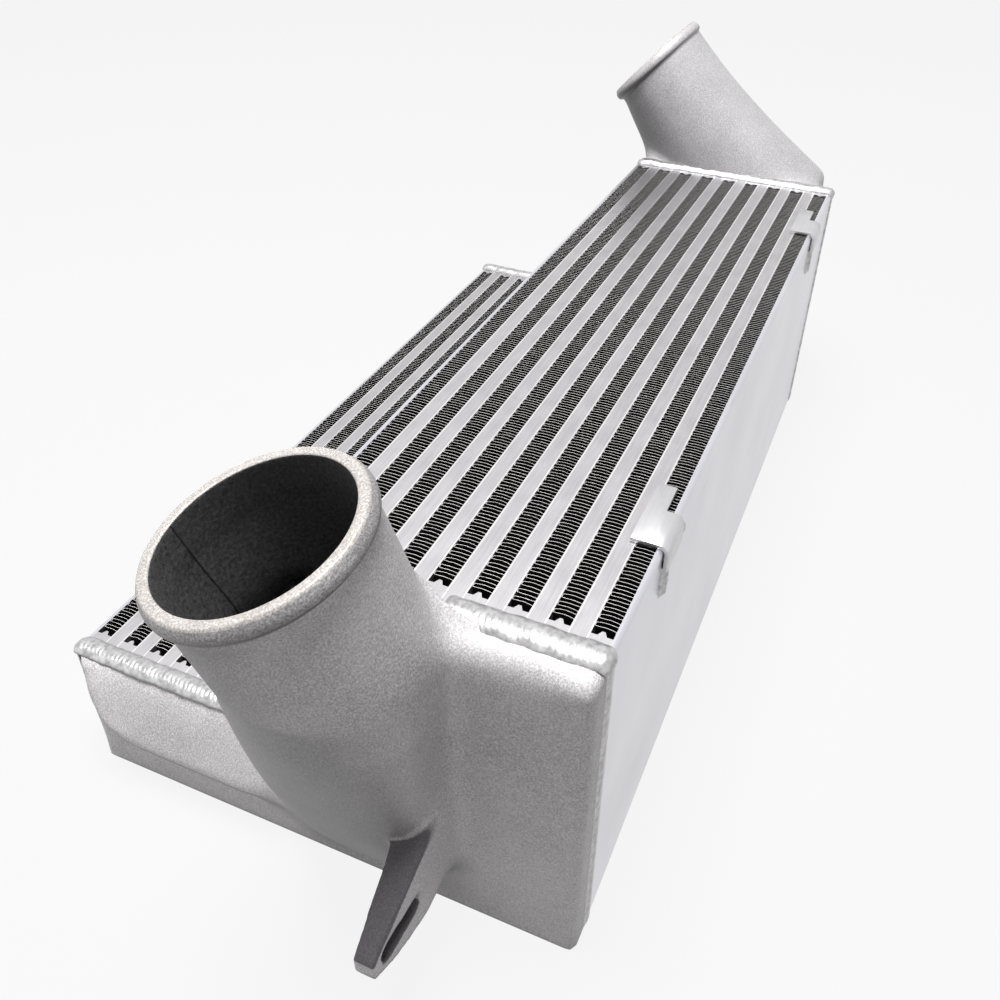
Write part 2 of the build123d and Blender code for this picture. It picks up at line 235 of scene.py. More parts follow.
def makeBoreSkinWithPaintedShade():
    material, tree, shader, place = startMaterial("as-cast bore skin with painted shade", {"Metallic": 0.1, "Roughness": 0.75})
    rough = addNode(tree, "ShaderNodeTexNoise", {"Scale": scaleFor(1.6), "Detail": 3.0, "Roughness": 0.7},
                    {"Vector": place})
    sparks = addNode(tree, "ShaderNodeTexVoronoi", {"Scale": scaleFor(3.4)}, {"Vector": place})
    # partly painted shade: these colours are far darker than the metal's own
    dark = addNode(tree, "ShaderNodeValToRGB", {"stops": [(0.3, "#2b2a2b"), (0.7, "#666466")]},
                   {"Fac": rough.outputs["Fac"]})
    spark = addNode(tree, "ShaderNodeValToRGB", {"stops": [(0.04, "#a0a0a2"), (0.09, "#000000")]},
                    {"Fac": sparks.outputs["Distance"]})
    sparkled = addNode(tree, "ShaderNodeMix", {"data_type": "RGBA", "blend_type": "ADD", 0: 0.45},
                       {6: dark.outputs["Color"], 7: spark.outputs["Color"]})
    centred = addNode(tree, "ShaderNodeVectorMath", {"operation": "SUBTRACT", 1: seam["start"]}, {0: place})
    aside = addNode(tree, "ShaderNodeVectorMath", {"operation": "DOT_PRODUCT", 1: seam["across"]},
                    {0: centred.outputs["Vector"]})
    ahead = addNode(tree, "ShaderNodeVectorMath", {"operation": "DOT_PRODUCT", 1: seam["along"]},
                    {0: centred.outputs["Vector"]})
    wavy = addNode(tree, "ShaderNodeMath", {"operation": "MULTIPLY_ADD", 1: seam["wander"]},
                   {0: rough.outputs["Fac"], 2: aside.outputs["Value"]})
    onLine = addNode(tree, "ShaderNodeMath", {"operation": "COMPARE", 1: seam["wander"] / 2,
                                              2: seam["halfWidth"]}, {0: wavy.outputs[0]})
    oneSide = addNode(tree, "ShaderNodeMath", {"operation": "GREATER_THAN", 1: 0.0},
                      {0: ahead.outputs["Value"]})
    line = addNode(tree, "ShaderNodeMath", {"operation": "MULTIPLY"},
                   {0: onLine.outputs[0], 1: oneSide.outputs[0]})
    seamed = addNode(tree, "ShaderNodeMix", {"data_type": "RGBA", 7: hexColour("#0a0a0a")},
                     {0: line.outputs[0], 6: sparkled.outputs[2]})
    bump = addNode(tree, "ShaderNodeBump", {"Distance": 0.3 * mm, "Strength": 0.8},
                   {"Height": rough.outputs["Fac"]})
    finishMaterial(tree, shader, seamed, bump)
    return material


# Extruded and brazed aluminium bar: satin, almost white, with faint lines along the length.
def makeBarAluminium(name, darkCode, paleCode, roughness=0.38):
    material, tree, shader, place = startMaterial(name, {"Metallic": 0.88, "Roughness": roughness})
    stretch = addNode(tree, "ShaderNodeMapping", {"Scale": (0.04, 1.0, 1.0)}, {"Vector": place})
    lines = addNode(tree, "ShaderNodeTexNoise", {"Scale": scaleFor(0.8), "Detail": 2.0},
                    {"Vector": stretch.outputs["Vector"]})
    blotches = addNode(tree, "ShaderNodeTexNoise", {"Scale": scaleFor(14), "Detail": 3.0}, {"Vector": place})
    mixed = addNode(tree, "ShaderNodeMix", {"data_type": "RGBA", 0: 0.5},
                    {6: lines.outputs["Color"], 7: blotches.outputs["Color"]})
    colour = addNode(tree, "ShaderNodeValToRGB", {"stops": [(0.38, darkCode), (0.62, paleCode)]},
                     {"Fac": mixed.outputs[2]})
    bump = addNode(tree, "ShaderNodeBump", {"Distance": 0.02 * mm, "Strength": 0.5},
                   {"Height": lines.outputs["Fac"]})
    finishMaterial(tree, shader, colour, bump)
    return material


# Rolled sheet in mill finish: smooth and cool grey, with a few slanting scratches from handling.
def makeMillSheet(name, darkCode, paleCode):
    material, tree, shader, place = startMaterial(name, {"Metallic": 0.92, "Roughness": 0.3})
    patches = addNode(tree, "ShaderNodeTexNoise", {"Scale": scaleFor(70), "Detail": 3.0}, {"Vector": place})
    turned = addNode(tree, "ShaderNodeMapping", {"Rotation": (0.0, math.radians(38), 0.0),
                                                 "Scale": (0.03, 1.0, 1.0)}, {"Vector": place})
    scratches = addNode(tree, "ShaderNodeTexNoise", {"Scale": scaleFor(1.4), "Detail": 1.0},
                        {"Vector": turned.outputs["Vector"]})
    base = addNode(tree, "ShaderNodeValToRGB", {"stops": [(0.3, darkCode), (0.7, paleCode)]},
                   {"Fac": patches.outputs["Fac"]})
    marks = addNode(tree, "ShaderNodeValToRGB", {"stops": [(0.71, "#000000"), (0.79, "#ffffff")]},
                    {"Fac": scratches.outputs["Fac"]})
    marked = addNode(tree, "ShaderNodeMix", {"data_type": "RGBA", 7: hexColour("#b2b3b9")},
                     {0: marks.outputs["Color"], 6: base.outputs["Color"]})
    bump = addNode(tree, "ShaderNodeBump", {"Distance": 0.02 * mm, "Strength": 0.3},
                   {"Height": scratches.outputs["Fac"]})
    finishMaterial(tree, shader, marked, bump)
    return material


# Thin brazed fin foil: the cut edges at the faces keep the foil's bright colour, and below them the walls are
# painted almost black: painted shade between the fins. The ramp runs from a face to 4 mm below it.
def makeFinFoilWithPaintedShade(name, low, high):
    material, tree, shader, place = startMaterial(name, {"Metallic": 0.3, "Roughness": 0.45})
    parts = addNode(tree, "ShaderNodeSeparateXYZ", links={"Vector": place})
    centred = addNode(tree, "ShaderNodeMath", {"operation": "SUBTRACT", 1: (low + high) / 2},
                      {0: parts.outputs["Z"]})
    fromMiddle = addNode(tree, "ShaderNodeMath", {"operation": "ABSOLUTE"}, {0: centred.outputs[0]})
    depth = addNode(tree, "ShaderNodeMath", {"operation": "SUBTRACT", 0: (high - low) / 2},
                    {1: fromMiddle.outputs[0]})
    share = addNode(tree, "ShaderNodeMath", {"operation": "DIVIDE", 1: 4 * mm}, {0: depth.outputs[0]})
    # painted shade: the colour falls from the bright edge to almost black 1 mm down
    colour = addNode(tree, "ShaderNodeValToRGB",
                     {"stops": [(0.015, "#e4e2e0"), (0.05, "#2e2d2f"), (0.25, "#0a090b")]},
                     {"Fac": share.outputs[0]})
    finishMaterial(tree, shader, colour)
    return material


# Weld bead: remelted filler, bright and smooth between its ripples.
def makeWeldMetal():
    settings = {"Metallic": 0.75, "Roughness": 0.34}
    material, tree, shader, place = startMaterial("weld bead aluminium", settings)
    dull = addNode(tree, "ShaderNodeTexNoise", {"Scale": scaleFor(3.0), "Detail": 3.0}, {"Vector": place})
    colour = addNode(tree, "ShaderNodeValToRGB", {"stops": [(0.3, "#9c9b9c"), (0.6, "#c6c5c6")]},
                     {"Fac": dull.outputs["Fac"]})
    bump = addNode(tree, "ShaderNodeBump", {"Distance": 0.10 * mm, "Strength": 0.5},
                   {"Height": dull.outputs["Fac"]})
    finishMaterial(tree, shader, colour, bump)
    return material


# The far casting is blasted finer and looks evener; its grey is painted darker than the near one's as painted
# shade. The rim's face is cut, so it is the smoothest. The bead below it is a darker grey, and the lug's
# upper side gets a painted shadow.
materials = {
    "tank": makeCastAluminium("sand-cast blasted aluminium", "#ccc9cb", "#dedadc"),
    # painted shade: the far casting's grey is darker than the near one's
    "farTank": makeCastAluminium("finely blasted cast aluminium", "#b8b6b8", "#c6c4c6",
                                 bumpMm=0.08, metallic=0.15, roughness=0.42, contrast=0.5),
    "rim": makeCastAluminium("faced rim of the casting", "#b3aeaa", "#c2bdb9",
                             bumpMm=0.06, metallic=0.15, roughness=0.5, contrast=0.6),
    "beadSkin": makeCastAluminium("as-cast rim bead", "#8f8c8d", "#a5a2a3",
                                  bumpMm=0.1, metallic=0.15, roughness=0.45, contrast=0.8),
    # the lug: the same cast aluminium with a painted shadow on its upper faces
    "lugSkin": makeCastAluminium("cast aluminium with painted shadow on the lug", "#ccc9cb", "#dedadc",
                                 paintedShadowFrom=core["tankFace"] + 1 * mm),
    "bore": makeBoreSkinWithPaintedShade(),
    "bars": makeBarAluminium("brazed bar aluminium", "#aeacae", "#bfbdbf"),
    "sheets": makeBarAluminium("clad parting sheet", "#dcdbdc", "#ecebeb", roughness=0.3),
    "plate": makeMillSheet("mill-finish side sheet", "#cfcfd5", "#dadadf"),
    "finMain": makeFinFoilWithPaintedShade("brazed fin foil, main block", *[c.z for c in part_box("ambient_fin_01")]),
    "finThin": makeFinFoilWithPaintedShade("brazed fin foil, thin part", *[c.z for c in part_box("ambient_fin_17")]),
    "weld": makeWeldMetal(),
    "bracket": makeBarAluminium("bent bracket strip", "#c4c3c5", "#d0cfd1", roughness=0.33),
}

# the material of each CAD node, by the first of these words in its name; the others are bars
nodeMaterials = {"ambient_fin": "finMain", "parting": "sheets", "plate": "plate", "weld": "weld",
                 "tank": "tank", "bracket": "bracket"}


def dress(piece, *keys):
    piece.data.materials.clear()
    for key in keys:
        piece.data.materials.append(materials[key])


for name, piece in frame["nodes"].items():
    dress(piece, next((key for word, key in nodeMaterials.items() if word in name), "bars"))
print("materials made and given to the CAD nodes")


# modelling helpers

def makeActive(piece):
    bpy.ops.object.select_all(action="DESELECT")
    piece.select_set(True)
    bpy.context.view_layer.objects.active = piece


def editAll():
    bpy.ops.object.mode_set(mode="EDIT")
    bpy.ops.mesh.select_all(action="SELECT")


def leaveEdit():
    bpy.ops.object.mode_set(mode="OBJECT")


def startPoint(place):
    # a single vertex in edit mode, to extrude a line from
    bpy.ops.mesh.primitive_plane_add(size=mm)
    editAll()
    bpy.ops.mesh.merge(type="CENTER")
    bpy.ops.transform.translate(value=place)
    return bpy.context.object


def extrudeBy(step):
    bpy.ops.mesh.extrude_region_move(TRANSFORM_OT_translate={"value": step})


def faceOutward():
    editAll()
    bpy.ops.mesh.normals_make_consistent(inside=False)
    leaveEdit()


def shadeFaces(piece, smooth):
    for polygon in piece.data.polygons:
        polygon.use_smooth = smooth


def applyModifiers(piece):
    makeActive(piece)
    for modifier in list(piece.modifiers):
        bpy.ops.object.modifier_apply(modifier=modifier.name)


def giveThickness(piece, thickness):
    solid = piece.modifiers.new("thickness", "SOLIDIFY")
    solid.thickness = thickness
    solid.offset = 0
    applyModifiers(piece)


def copyPiece(piece, name):
    twin = piece.copy()
    twin.data = piece.data.copy()
    twin.name = name
    bpy.context.scene.collection.objects.link(twin)
    return twin


def joinPieces(pieces, name):
    makeActive(pieces[0])
    for piece in pieces[1:]:
        piece.select_set(True)
    bpy.ops.object.join()
    pieces[0].name = name
    return pieces[0]


def mergedCopy(node, name):
    # a CAD node's copy as one plain mesh, without the node's marks and stored normals
    piece = copyPiece(frame["nodes"][node], name)
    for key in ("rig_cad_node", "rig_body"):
        if key in piece:
            del piece[key]
    piece.parent = None
    makeActive(piece)
    bpy.ops.mesh.customdata_custom_splitnormals_clear()
    editAll()
    bpy.ops.mesh.remove_doubles(threshold=near["node"])
    bpy.ops.mesh.faces_shade_smooth()
    bpy.ops.mesh.mark_sharp(clear=True)
    leaveEdit()
    return piece


def settle(piece, node, slotName, *keys):
    dress(piece, *keys)
    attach(piece, "root")
    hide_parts(node)


# folded fins: one fold is drawn, repeated along the row and given the foil's gauge

fin = {
    "spacing": 2.835 * mm,     # from one wall to the next
    "gauge": 0.2 * mm,
    "bow": 0.42 * mm,          # how far a wall bulges along the row
    "bowEarly": 0.55,          # part of the bulge in a wall's outer quarter
    "crest": 0.55 * mm,        # width lost to each rounded corner
    "crestTurn": 0.3,          # part of a corner that runs down the wall
    "edgeDepth": 2.5 * mm,     # depth below each face where a wall can lean
    "lean": 0.30 * mm,
    "leanDepth": 1.5 * mm,     # how fast the lean dies away below a face
    "waveLength": 9 * mm,      # neighbours lean together over this length
    "waveDepth": 60 * mm,
    "waveShare": 1.6,
    "jitterLength": 2.2 * mm,  # and each leans a little by itself
    "jitterPlane": 5.0,
    "rowShift": (7.3, 3.1),    # how far wave and jitter move through the noise from row to row
}


def drawFold(low, high, thickness):
    piece = startPoint((0, low + fin["gauge"] / 2, 0))
    quarter = (high - low - fin["gauge"]) / 4
    half, corner, turn = fin["spacing"] / 2, fin["crest"], fin["crestTurn"]
    early = fin["bow"] * fin["bowEarly"]
    late = fin["bow"] - early
    for way in (1, -1):
        for stepX, stepY in (
            (half - corner, 0),
            (corner * (1 - turn), corner * turn),
            (corner * turn + early, quarter - corner * turn),
            (late, quarter),
            (-late, quarter),
            (corner * turn - early, quarter - corner * turn),
            (corner * (1 - turn), corner * turn),
            (half - 2 * corner, 0),
        ):
            extrudeBy((stepX, way * stepY, 0))
    bpy.ops.mesh.select_all(action="SELECT")
    edge = fin["edgeDepth"]
    for rise in (edge, thickness - 2 * edge, edge):
        extrudeBy((0, 0, rise))
    leaveEdit()
    return piece


def leanWalls(piece, low, high, seed):
    waveShift, jitterShift = fin["rowShift"]
    for vertex in piece.data.vertices:
        place = vertex.co
        depth = min(place.z - low.z, high.z - place.z)
        looseness = math.exp(-depth / fin["leanDepth"])
        across = (place.y - low.y) / (high.y - low.y)
        arch = 4 * across * (1 - across)
        inWave = (place.x / fin["waveLength"], seed * waveShift, place.z / fin["waveDepth"])
        inJitter = (place.x / fin["jitterLength"], seed * jitterShift, fin["jitterPlane"])
        lean = fin["waveShare"] * noise.noise(Vector(inWave)) + noise.noise(Vector(inJitter))
        place.x += arch * looseness * fin["lean"] * lean


def rowSpan(piece):
    xs = [vertex.co.x for vertex in piece.data.vertices]
    return min(xs), max(xs)


def buildFins(nodeNames, prefix, key):
    low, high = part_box(nodeNames[0])
    first = drawFold(low.y, high.y, high.z - low.z)
    start, end = rowSpan(first)
    period, length = end - start, high.x - low.x
    array = first.modifiers.new("row", "ARRAY")
    array.count = round(length / period)
    array.use_relative_offset = False
    array.use_constant_offset = True
    array.constant_offset_displace = (period, 0, 0)
    array.use_merge_vertices = True
    array.merge_threshold = near["drawn"]
    stretch = length / (array.count * period)
    applyModifiers(first)
    first.data.transform(Matrix.Diagonal((stretch, 1, 1, 1)))
    first.data.transform(Matrix.Translation((low.x - rowSpan(first)[0], 0, low.z)))
    for row, nodeName in enumerate(nodeNames):
        rowLow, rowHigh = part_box(nodeName)
        piece = copyPiece(first, f"{prefix}_{row + 1:02d}")
        piece.data.transform(Matrix.Translation((0, rowLow.y - low.y, 0)))
        leanWalls(piece, rowLow, rowHigh, row + len(prefix))
        giveThickness(piece, fin["gauge"])
        shadeFaces(piece, False)
        settle(piece, nodeName, "ambient_fins", key)
    bpy.data.objects.remove(first)


buildFins([f"ambient_fin_{i:02d}" for i in range(1, 10)], "fin_row_main", "finMain")
buildFins([f"ambient_fin_{i:02d}" for i in range(10, 18)], "fin_row_thin", "finThin")
print("fins folded")


# cast tanks: a copy of each casting with its joints blended as a pattern maker would

tank = {
    "voxel": 1.9 * mm,
    "passes": 170,
    "reach": 34 * mm,          # how far from the hood's joint with the end face the blend reaches
    "foot": 20 * mm,           # the blend grows from nothing over this height above the underside
    "keepOff": 2.5 * mm,       # a strip beside the core that stays as it is
    "keepFade": 5 * mm,
    "above": 0.5 * mm,         # it doesn't hold above the block's top
    "aboveFade": 1.5 * mm,
    "factor": 0.5,             # how far a point moves in one pass
    "leastWeight": 0.01,
    "polish": 4,               # passes over the whole casting
    "cut": 14 * mm,            # where the turned rim takes over from the casting, below the rim's face
    "rimJoint": 15 * mm,       # middle and reach of the smoothing over that joint
    "rimJointReach": 5.5 * mm,
    "rimPasses": 30,
    "rimSteps": 140,           # round the rim
}

# the rim's section: radius from the bore's wall and depth below the face, in mm
rimSection = [
    (4.0, 12.0), (3.9, 10.6), (3.8, 9.7), (3.9, 9.0), (4.4, 8.3), (5.3, 7.7), (6.1, 7.0), (6.5, 6.1),
    (6.6, 5.1), (6.5, 4.0), (6.2, 3.0), (5.6, 1.9), (5.0, 1.0), (4.6, 0.45), (4.2, 0.1), (3.8, 0.0),
    (0.9, 0.0), (0.45, 0.12), (0.12, 0.5), (0.0, 1.2), (0.0, 3.0), (0.0, 7.0), (0.0, 12.0),
]

# the pad on the wing's end, with the section from its foot (0) to its top (1) in mm out from the core's end
wing = {
    "section": [
        (0.0, 17.6), (0.04, 18.0), (0.09, 19.6), (0.14, 21.8), (0.19, 23.3), (0.24, 23.4), (0.32, 22.2),
        (0.43, 19.9), (0.60, 16.4), (0.75, 13.0), (0.87, 9.8), (0.95, 7.0), (1.0, 4.6),
    ],
    "height": 48 * mm,         # from the crease to the thin part's top
    "fullHeight": 22 * mm,     # a lower pad has a flatter section
    "cornerFrom": 52 * mm,     # the crease turns upwards here, in from the side
    "cornerWide": 36 * mm,
    "sideMargin": 16.2 * mm,   # what is left as it is beside it, past the step and below it
    "stepMargin": 4 * mm,
    "floor": 16 * mm,
    "topMargin": 0.2 * mm,
    "leastHeight": 1 * mm,
    "topRadius": 17 * mm,
    "innerRadius": 15 * mm,    # nearer than this to the top's centre, or to the core, lies the inner wall
    "innerFace": 15.8 * mm,
}

# the hood under each pipe: where its foot starts, and what it measures there
hood = {"foot": 12 * mm, "footFront": 19.5 * mm, "footBack": 2 * mm, "swell": 5 * mm, "flank": 0.95}

# the web on the inlet pipe's flank: its crest runs along the block's top and then up an arc to the pipe
saddle = {
    "centre": Vector((-128 * mm, core["mainTop"] + 60 * mm)),
    "radius": 60 * mm,
    "outerEnd": -268 * mm,
    "keep": 13 * mm,           # how far from the crest the blend reaches its full strength
    "floor": 165 * mm,         # above this and between these two sides the whole web is smoothed
    "floorFade": 15 * mm,
    "right": -150 * mm,
    "rightFade": 14 * mm,
    "left": -88 * mm,
    "leftFade": 20 * mm,
}

# the upright edge where the wing's end turns to its side
wingEdge = {"fromSide": 15 * mm, "reach": 13 * mm, "offCore": 11 * mm, "belowTop": 1 * mm, "strength": 0.5}

# where each skin begins: depths below the rim's face, widths past the bore's wall, then hood, and the lug's
# painted shadow
skin = {
    "rimDepth": 1.6 * mm,
    "rimWide": 5.2 * mm,
    "rimFlat": 0.7 * mm,
    "boreEdge": 2 * mm,
    "beadDepth": 8.6 * mm,
    "beadFrom": 4.1 * mm,
    "beadTo": 8 * mm,
    "wallWide": 7 * mm,
    "hoodMargin": 1 * mm,
    "hoodFloor": 60 * mm,
    "lugShadowTop": 110 * mm,
    "lugShadowFrom": core["tankFace"] + 2 * mm,
    "lugShadowSide": -76 * mm,
}


def sectionAt(section, share):
    for (low, first), (high, second) in zip(section, section[1:]):
        if share <= high:
            return mixValues(first, second, (share - low) / (high - low))
    return section[-1][1]


def shapeWing(piece, pipe):
    # rolls the outer skin of the wing over from its weld down to the crease
    crown = core["thinTop"]
    face = core["tankFace"] - core["halfLength"]
    lowY, highY = core["stepSide"] - wing["stepMargin"], core["leftSide"] - wing["sideMargin"]
    for vertex in piece.data.vertices:
        place = vertex.co
        out = pipe["side"] * place.x - core["halfLength"]
        if not (lowY < place.y < highY and wing["floor"] < place.z < crown - wing["topMargin"]):
            continue
        aboveTurn = place.z - crown + wing["topRadius"]
        roundOff = math.hypot(out - face + wing["topRadius"], aboveTurn)
        if (roundOff < wing["innerRadius"] if aboveTurn > 0 else out < wing["innerFace"]):
            continue
        turn = clamp01((place.y - core["leftSide"] + wing["cornerFrom"]) / wing["cornerWide"])
        height = wing["height"] * math.sqrt(max(0.0, 1 - turn * turn))
        share = (place.z - crown + height) / max(height, wing["leastHeight"])
        target = face
        if share > 0:
            target = sectionAt(wing["section"], share) * mm
            target = mixValues(out, target, fadeIn(height, 0, wing["fullHeight"]))
        place.x = pipe["side"] * (core["halfLength"] + target)


def hoodLine(pipe, height):
    # centre and half width of the hood at a height
    level = clamp01((height - hood["foot"]) / (core["mainTop"] - hood["foot"]))
    swell = 4 * hood["swell"] * level * (1 - level)
    front = mixValues(hood["footFront"], pipe["front"], level) + swell
    back = pipe["back"] if level >= 1 else hood["footBack"]
    middle = core["rightSide"] + mixValues(pipe["footMiddle"], pipe["topMiddle"], level)
    halfWide = mixValues(pipe["footHalfWide"], pipe["topHalfWide"], level)
    x = pipe["side"] * (core["halfLength"] + (front + back) / 2)
    return Vector((x, middle, height)), halfWide


def crestDistance(place):
    if place.y < saddle["centre"].x:
        away = abs(place.z - core["mainTop"])
    else:
        away = abs((Vector((place.y, place.z)) - saddle["centre"]).length - saddle["radius"])
    return math.hypot(away, max(0.0, saddle["outerEnd"] - place.x))


def blendWeight(pipe, place):
    # how strongly a point of the casting is smoothed: 1 on the joint of hood and end face
    offCore = pipe["side"] * place.x - core["halfLength"]
    height = min(place.z, core["mainTop"])
    centre, halfWide = hoodLine(pipe, height)
    nearest = 1.0
    for sign in (-1, 1):
        flank = (pipe["side"] * core["tankFace"], centre.y + sign * halfWide * hood["flank"], height)
        nearest = min(nearest, (Vector(place) - Vector(flank)).length / tank["reach"])
    fromFoot = fadeIn(place.z, 0, tank["foot"])
    weight = (1 - smooth01(nearest)) * fromFoot
    if pipe["side"] < 0:
        onWeb = fadeIn(place.z, saddle["floor"], saddle["floorFade"])
        onWeb *= fadeIn(place.y, saddle["right"], saddle["rightFade"])
        onWeb *= 1 - fadeIn(place.y, saddle["left"], saddle["leftFade"])
        weight = max(weight, onWeb) * fadeIn(crestDistance(place), 0, saddle["keep"])
    if place.z < core["thinTop"] - wingEdge["belowTop"] and offCore > wingEdge["offCore"]:
        fromEdge = abs(place.y - core["leftSide"] + wingEdge["fromSide"])
        onEdge = smooth01(1 - fromEdge / wingEdge["reach"]) * fromFoot
        weight = max(weight, wingEdge["strength"] * onEdge)
    overCore = fadeIn(place.z, core["mainTop"] + tank["above"], tank["aboveFade"])
    return weight * max(overCore, fadeIn(offCore, tank["keepOff"], tank["keepFade"]))


def isInside(pipe, place, normal):
    # whether a face is on the inner wall of the hood, neck or spigot
    if place.z <= core["mainTop"]:
        centre, halfWide = hoodLine(pipe, place.z)
        out = Vector(place) - centre
        within = abs(out.y) < halfWide - skin["hoodMargin"] and place.z > skin["hoodFloor"]
        return within and out.dot(normal) < 0
    top = hoodLine(pipe, core["mainTop"])[0]
    root = pipe["rim"] - pipe["faces"] * pipe["spigot"]
    beyond = (Vector(place) - root).dot(pipe["faces"])
    line = root - top
    share = clamp01((Vector(place) - top).dot(line) / line.length_squared)
    centre = root + pipe["faces"] * beyond if beyond > 0 else top + line * share
    out = Vector(place) - centre
    return out.length < pipe["bore"] + skin["wallWide"] and out.dot(normal) < 0


def alongPipe(pipe, place):
    # depth of a point below the rim's face, and its distance from the pipe's axis
    offset = Vector(place) - pipe["rim"]
    depth = -offset.dot(pipe["faces"])
    return depth, (offset + pipe["faces"] * depth).length


def skinAt(pipe, place, normal):
    depth, radius = alongPipe(pipe, place)
    past = radius - pipe["bore"]
    if depth < skin["rimDepth"] and past < skin["rimWide"]:
        return "rim" if depth < skin["rimFlat"] or past > skin["boreEdge"] else "bore"
    if "beadSkin" in pipe["skins"] and depth < skin["beadDepth"] and skin["beadFrom"] < past < skin["beadTo"]:
        return "beadSkin"
    # the inner walls of hood, neck and spigot take the bore's material with its painted shade
    if isInside(pipe, place, normal):
        return "bore"
    # the painted shadow covers the lug, past the end face, low and towards the right side
    beyondEnd = pipe["side"] * place.x > skin["lugShadowFrom"]
    inLugShadow = beyondEnd and place.y < skin["lugShadowSide"] and place.z < skin["lugShadowTop"]
    return "lugSkin" if inLugShadow and "lugSkin" in pipe["skins"] else pipe["skins"][0]


def turnRim(pipe):
    radius, depth = rimSection[0]
    piece = startPoint((pipe["bore"] + radius * mm, 0, -depth * mm))
    for nextRadius, nextDepth in rimSection[1:]:
        extrudeBy(((nextRadius - radius) * mm, 0, (depth - nextDepth) * mm))
        radius, depth = nextRadius, nextDepth
    bpy.ops.mesh.select_all(action="SELECT")
    bpy.ops.mesh.spin(steps=tank["rimSteps"], angle=math.tau, center=(0, 0, 0), axis=(0, 0, 1))
    bpy.ops.mesh.select_all(action="SELECT")
    bpy.ops.mesh.remove_doubles(threshold=near["drawn"])
    leaveEdit()
    tilt = pipe["faces"].to_track_quat("Z", "Y").to_matrix().to_4x4()
    piece.data.transform(Matrix.Translation(pipe["rim"]) @ tilt)
    return piece


def addSmoothing(piece, name, passes, weightOf=None):
    smoothing = piece.modifiers.new(name, "SMOOTH")
    smoothing.factor = tank["factor"]
    smoothing.iterations = passes
    if weightOf:
        group = piece.vertex_groups.new(name=name)
        for vertex in piece.data.vertices:
            weight = weightOf(vertex.co)
            if weight > tank["leastWeight"]:
                group.add([vertex.index], weight, "REPLACE")
        smoothing.vertex_group = group.name


def bridgeRim(piece, pipe):
    # closes the gap between casting and rim, first outside and then in the bore
    counts = {}
    for polygon in piece.data.polygons:
        for edge in polygon.edge_keys:
            counts[edge] = counts.get(edge, 0) + 1
    openOnes = {index for edge, count in counts.items() if count == 1 for index in edge}
    middle = pipe["bore"] + rimSection[0][0] / 2 * mm
    for outer in (True, False):
        for polygon in piece.data.polygons:
            polygon.select = False
        for edge in piece.data.edges:
            edge.select = False
        for vertex in piece.data.vertices:
            isOuter = alongPipe(pipe, vertex.co)[1] > middle
            vertex.select = vertex.index in openOnes and isOuter == outer
        bpy.ops.object.mode_set(mode="EDIT")
        bpy.ops.mesh.bridge_edge_loops()
        leaveEdit()


def buildTank(nodeName, pipeName):
    pipe = pipes[pipeName]
    castingName = f"{pipeName}_casting"
    piece = mergedCopy(nodeName, castingName)
    piece.data.remesh_voxel_size = tank["voxel"]
    bpy.ops.object.voxel_remesh()
    shapeWing(piece, pipe)
    addSmoothing(piece, "joint", tank["passes"], lambda place: blendWeight(pipe, place))
    addSmoothing(piece, "polish", tank["polish"])
    applyModifiers(piece)
    editAll()
    bpy.ops.mesh.bisect(plane_co=pipe["rim"] - pipe["faces"] * tank["cut"], plane_no=pipe["faces"],
                        clear_outer=True)
    leaveEdit()
    piece = joinPieces([piece, turnRim(pipe)], castingName)
    bridgeRim(piece, pipe)
    faceOutward()
    addSmoothing(piece, "rim joint", tank["rimPasses"], lambda place: smooth01(
        1 - abs(alongPipe(pipe, place)[0] - tank["rimJoint"]) / tank["rimJointReach"]))
    applyModifiers(piece)
    settle(piece, nodeName, "cast_tanks", *pipe["skins"])
    shadeFaces(piece, True)
    for polygon in piece.data.polygons:
        polygon.material_index = pipe["skins"].index(skinAt(pipe, polygon.center, polygon.normal))
    print(castingName, "blended:", len(piece.data.polygons), "faces")


buildTank("inlet_tank", "inlet")
buildTank("outlet_tank", "outlet")


# weld beads: a strip laid along the joint, with crescent ripples where each drop of filler froze

bead = {
    "pitch": 2.7 * mm,
    "curve": 1.5,            # how many pitches a crescent bends back between its middle and its edge
    "ripple": 0.42 * mm,
    "rippleRise": 1.6,       # a higher power gives each crescent a sharper crest
    "rippleLevel": 0.4,      # share of it that lies below the bead's mean surface
    "rippleLeast": 0.25,     # it is weakest on the core's side and grows across the strip
    "rippleFrom": -0.35,
    "rippleOver": 0.9,
    "rippleEdge": 4,         # power with which it dies out at the strip's edges
    "step": 0.55 * mm,       # spacing of points along the strip
    "across": 14,
    "cornerRadius": 3 * mm,
    "cornerSteps": 6,
    "easing": 5,             # steps on each side over which the outward direction is averaged
    "thickness": 0.7 * mm,
    "edgeSink": 0.63 * mm,   # how far the strip's edges lie inside the metal
    # slow changes along the strip: how strong, over what length and how far off in the noise
    "widthWaver": (0.10, 6 * mm, 4),
    "crownWaver": (0.16, 9 * mm, 9),
    "phaseWaver": (0.25, 7 * mm, 2),
    "wander": (0.48 * mm, 13 * mm, 0),
    "wanderPlane": 0.3,
    "crown": 2.6,            # a higher power gives a flatter bead with steeper edges
    "endLength": 4 * mm,
    "endRise": 0.15,         # share of the height at the very ends
    "sideHeight": 0.7 * mm,  # on the upright sides the bead is lower and narrower, with a weaker ripple
    "sideWidth": 0.6,
    "sideRipple": 0.6,
}


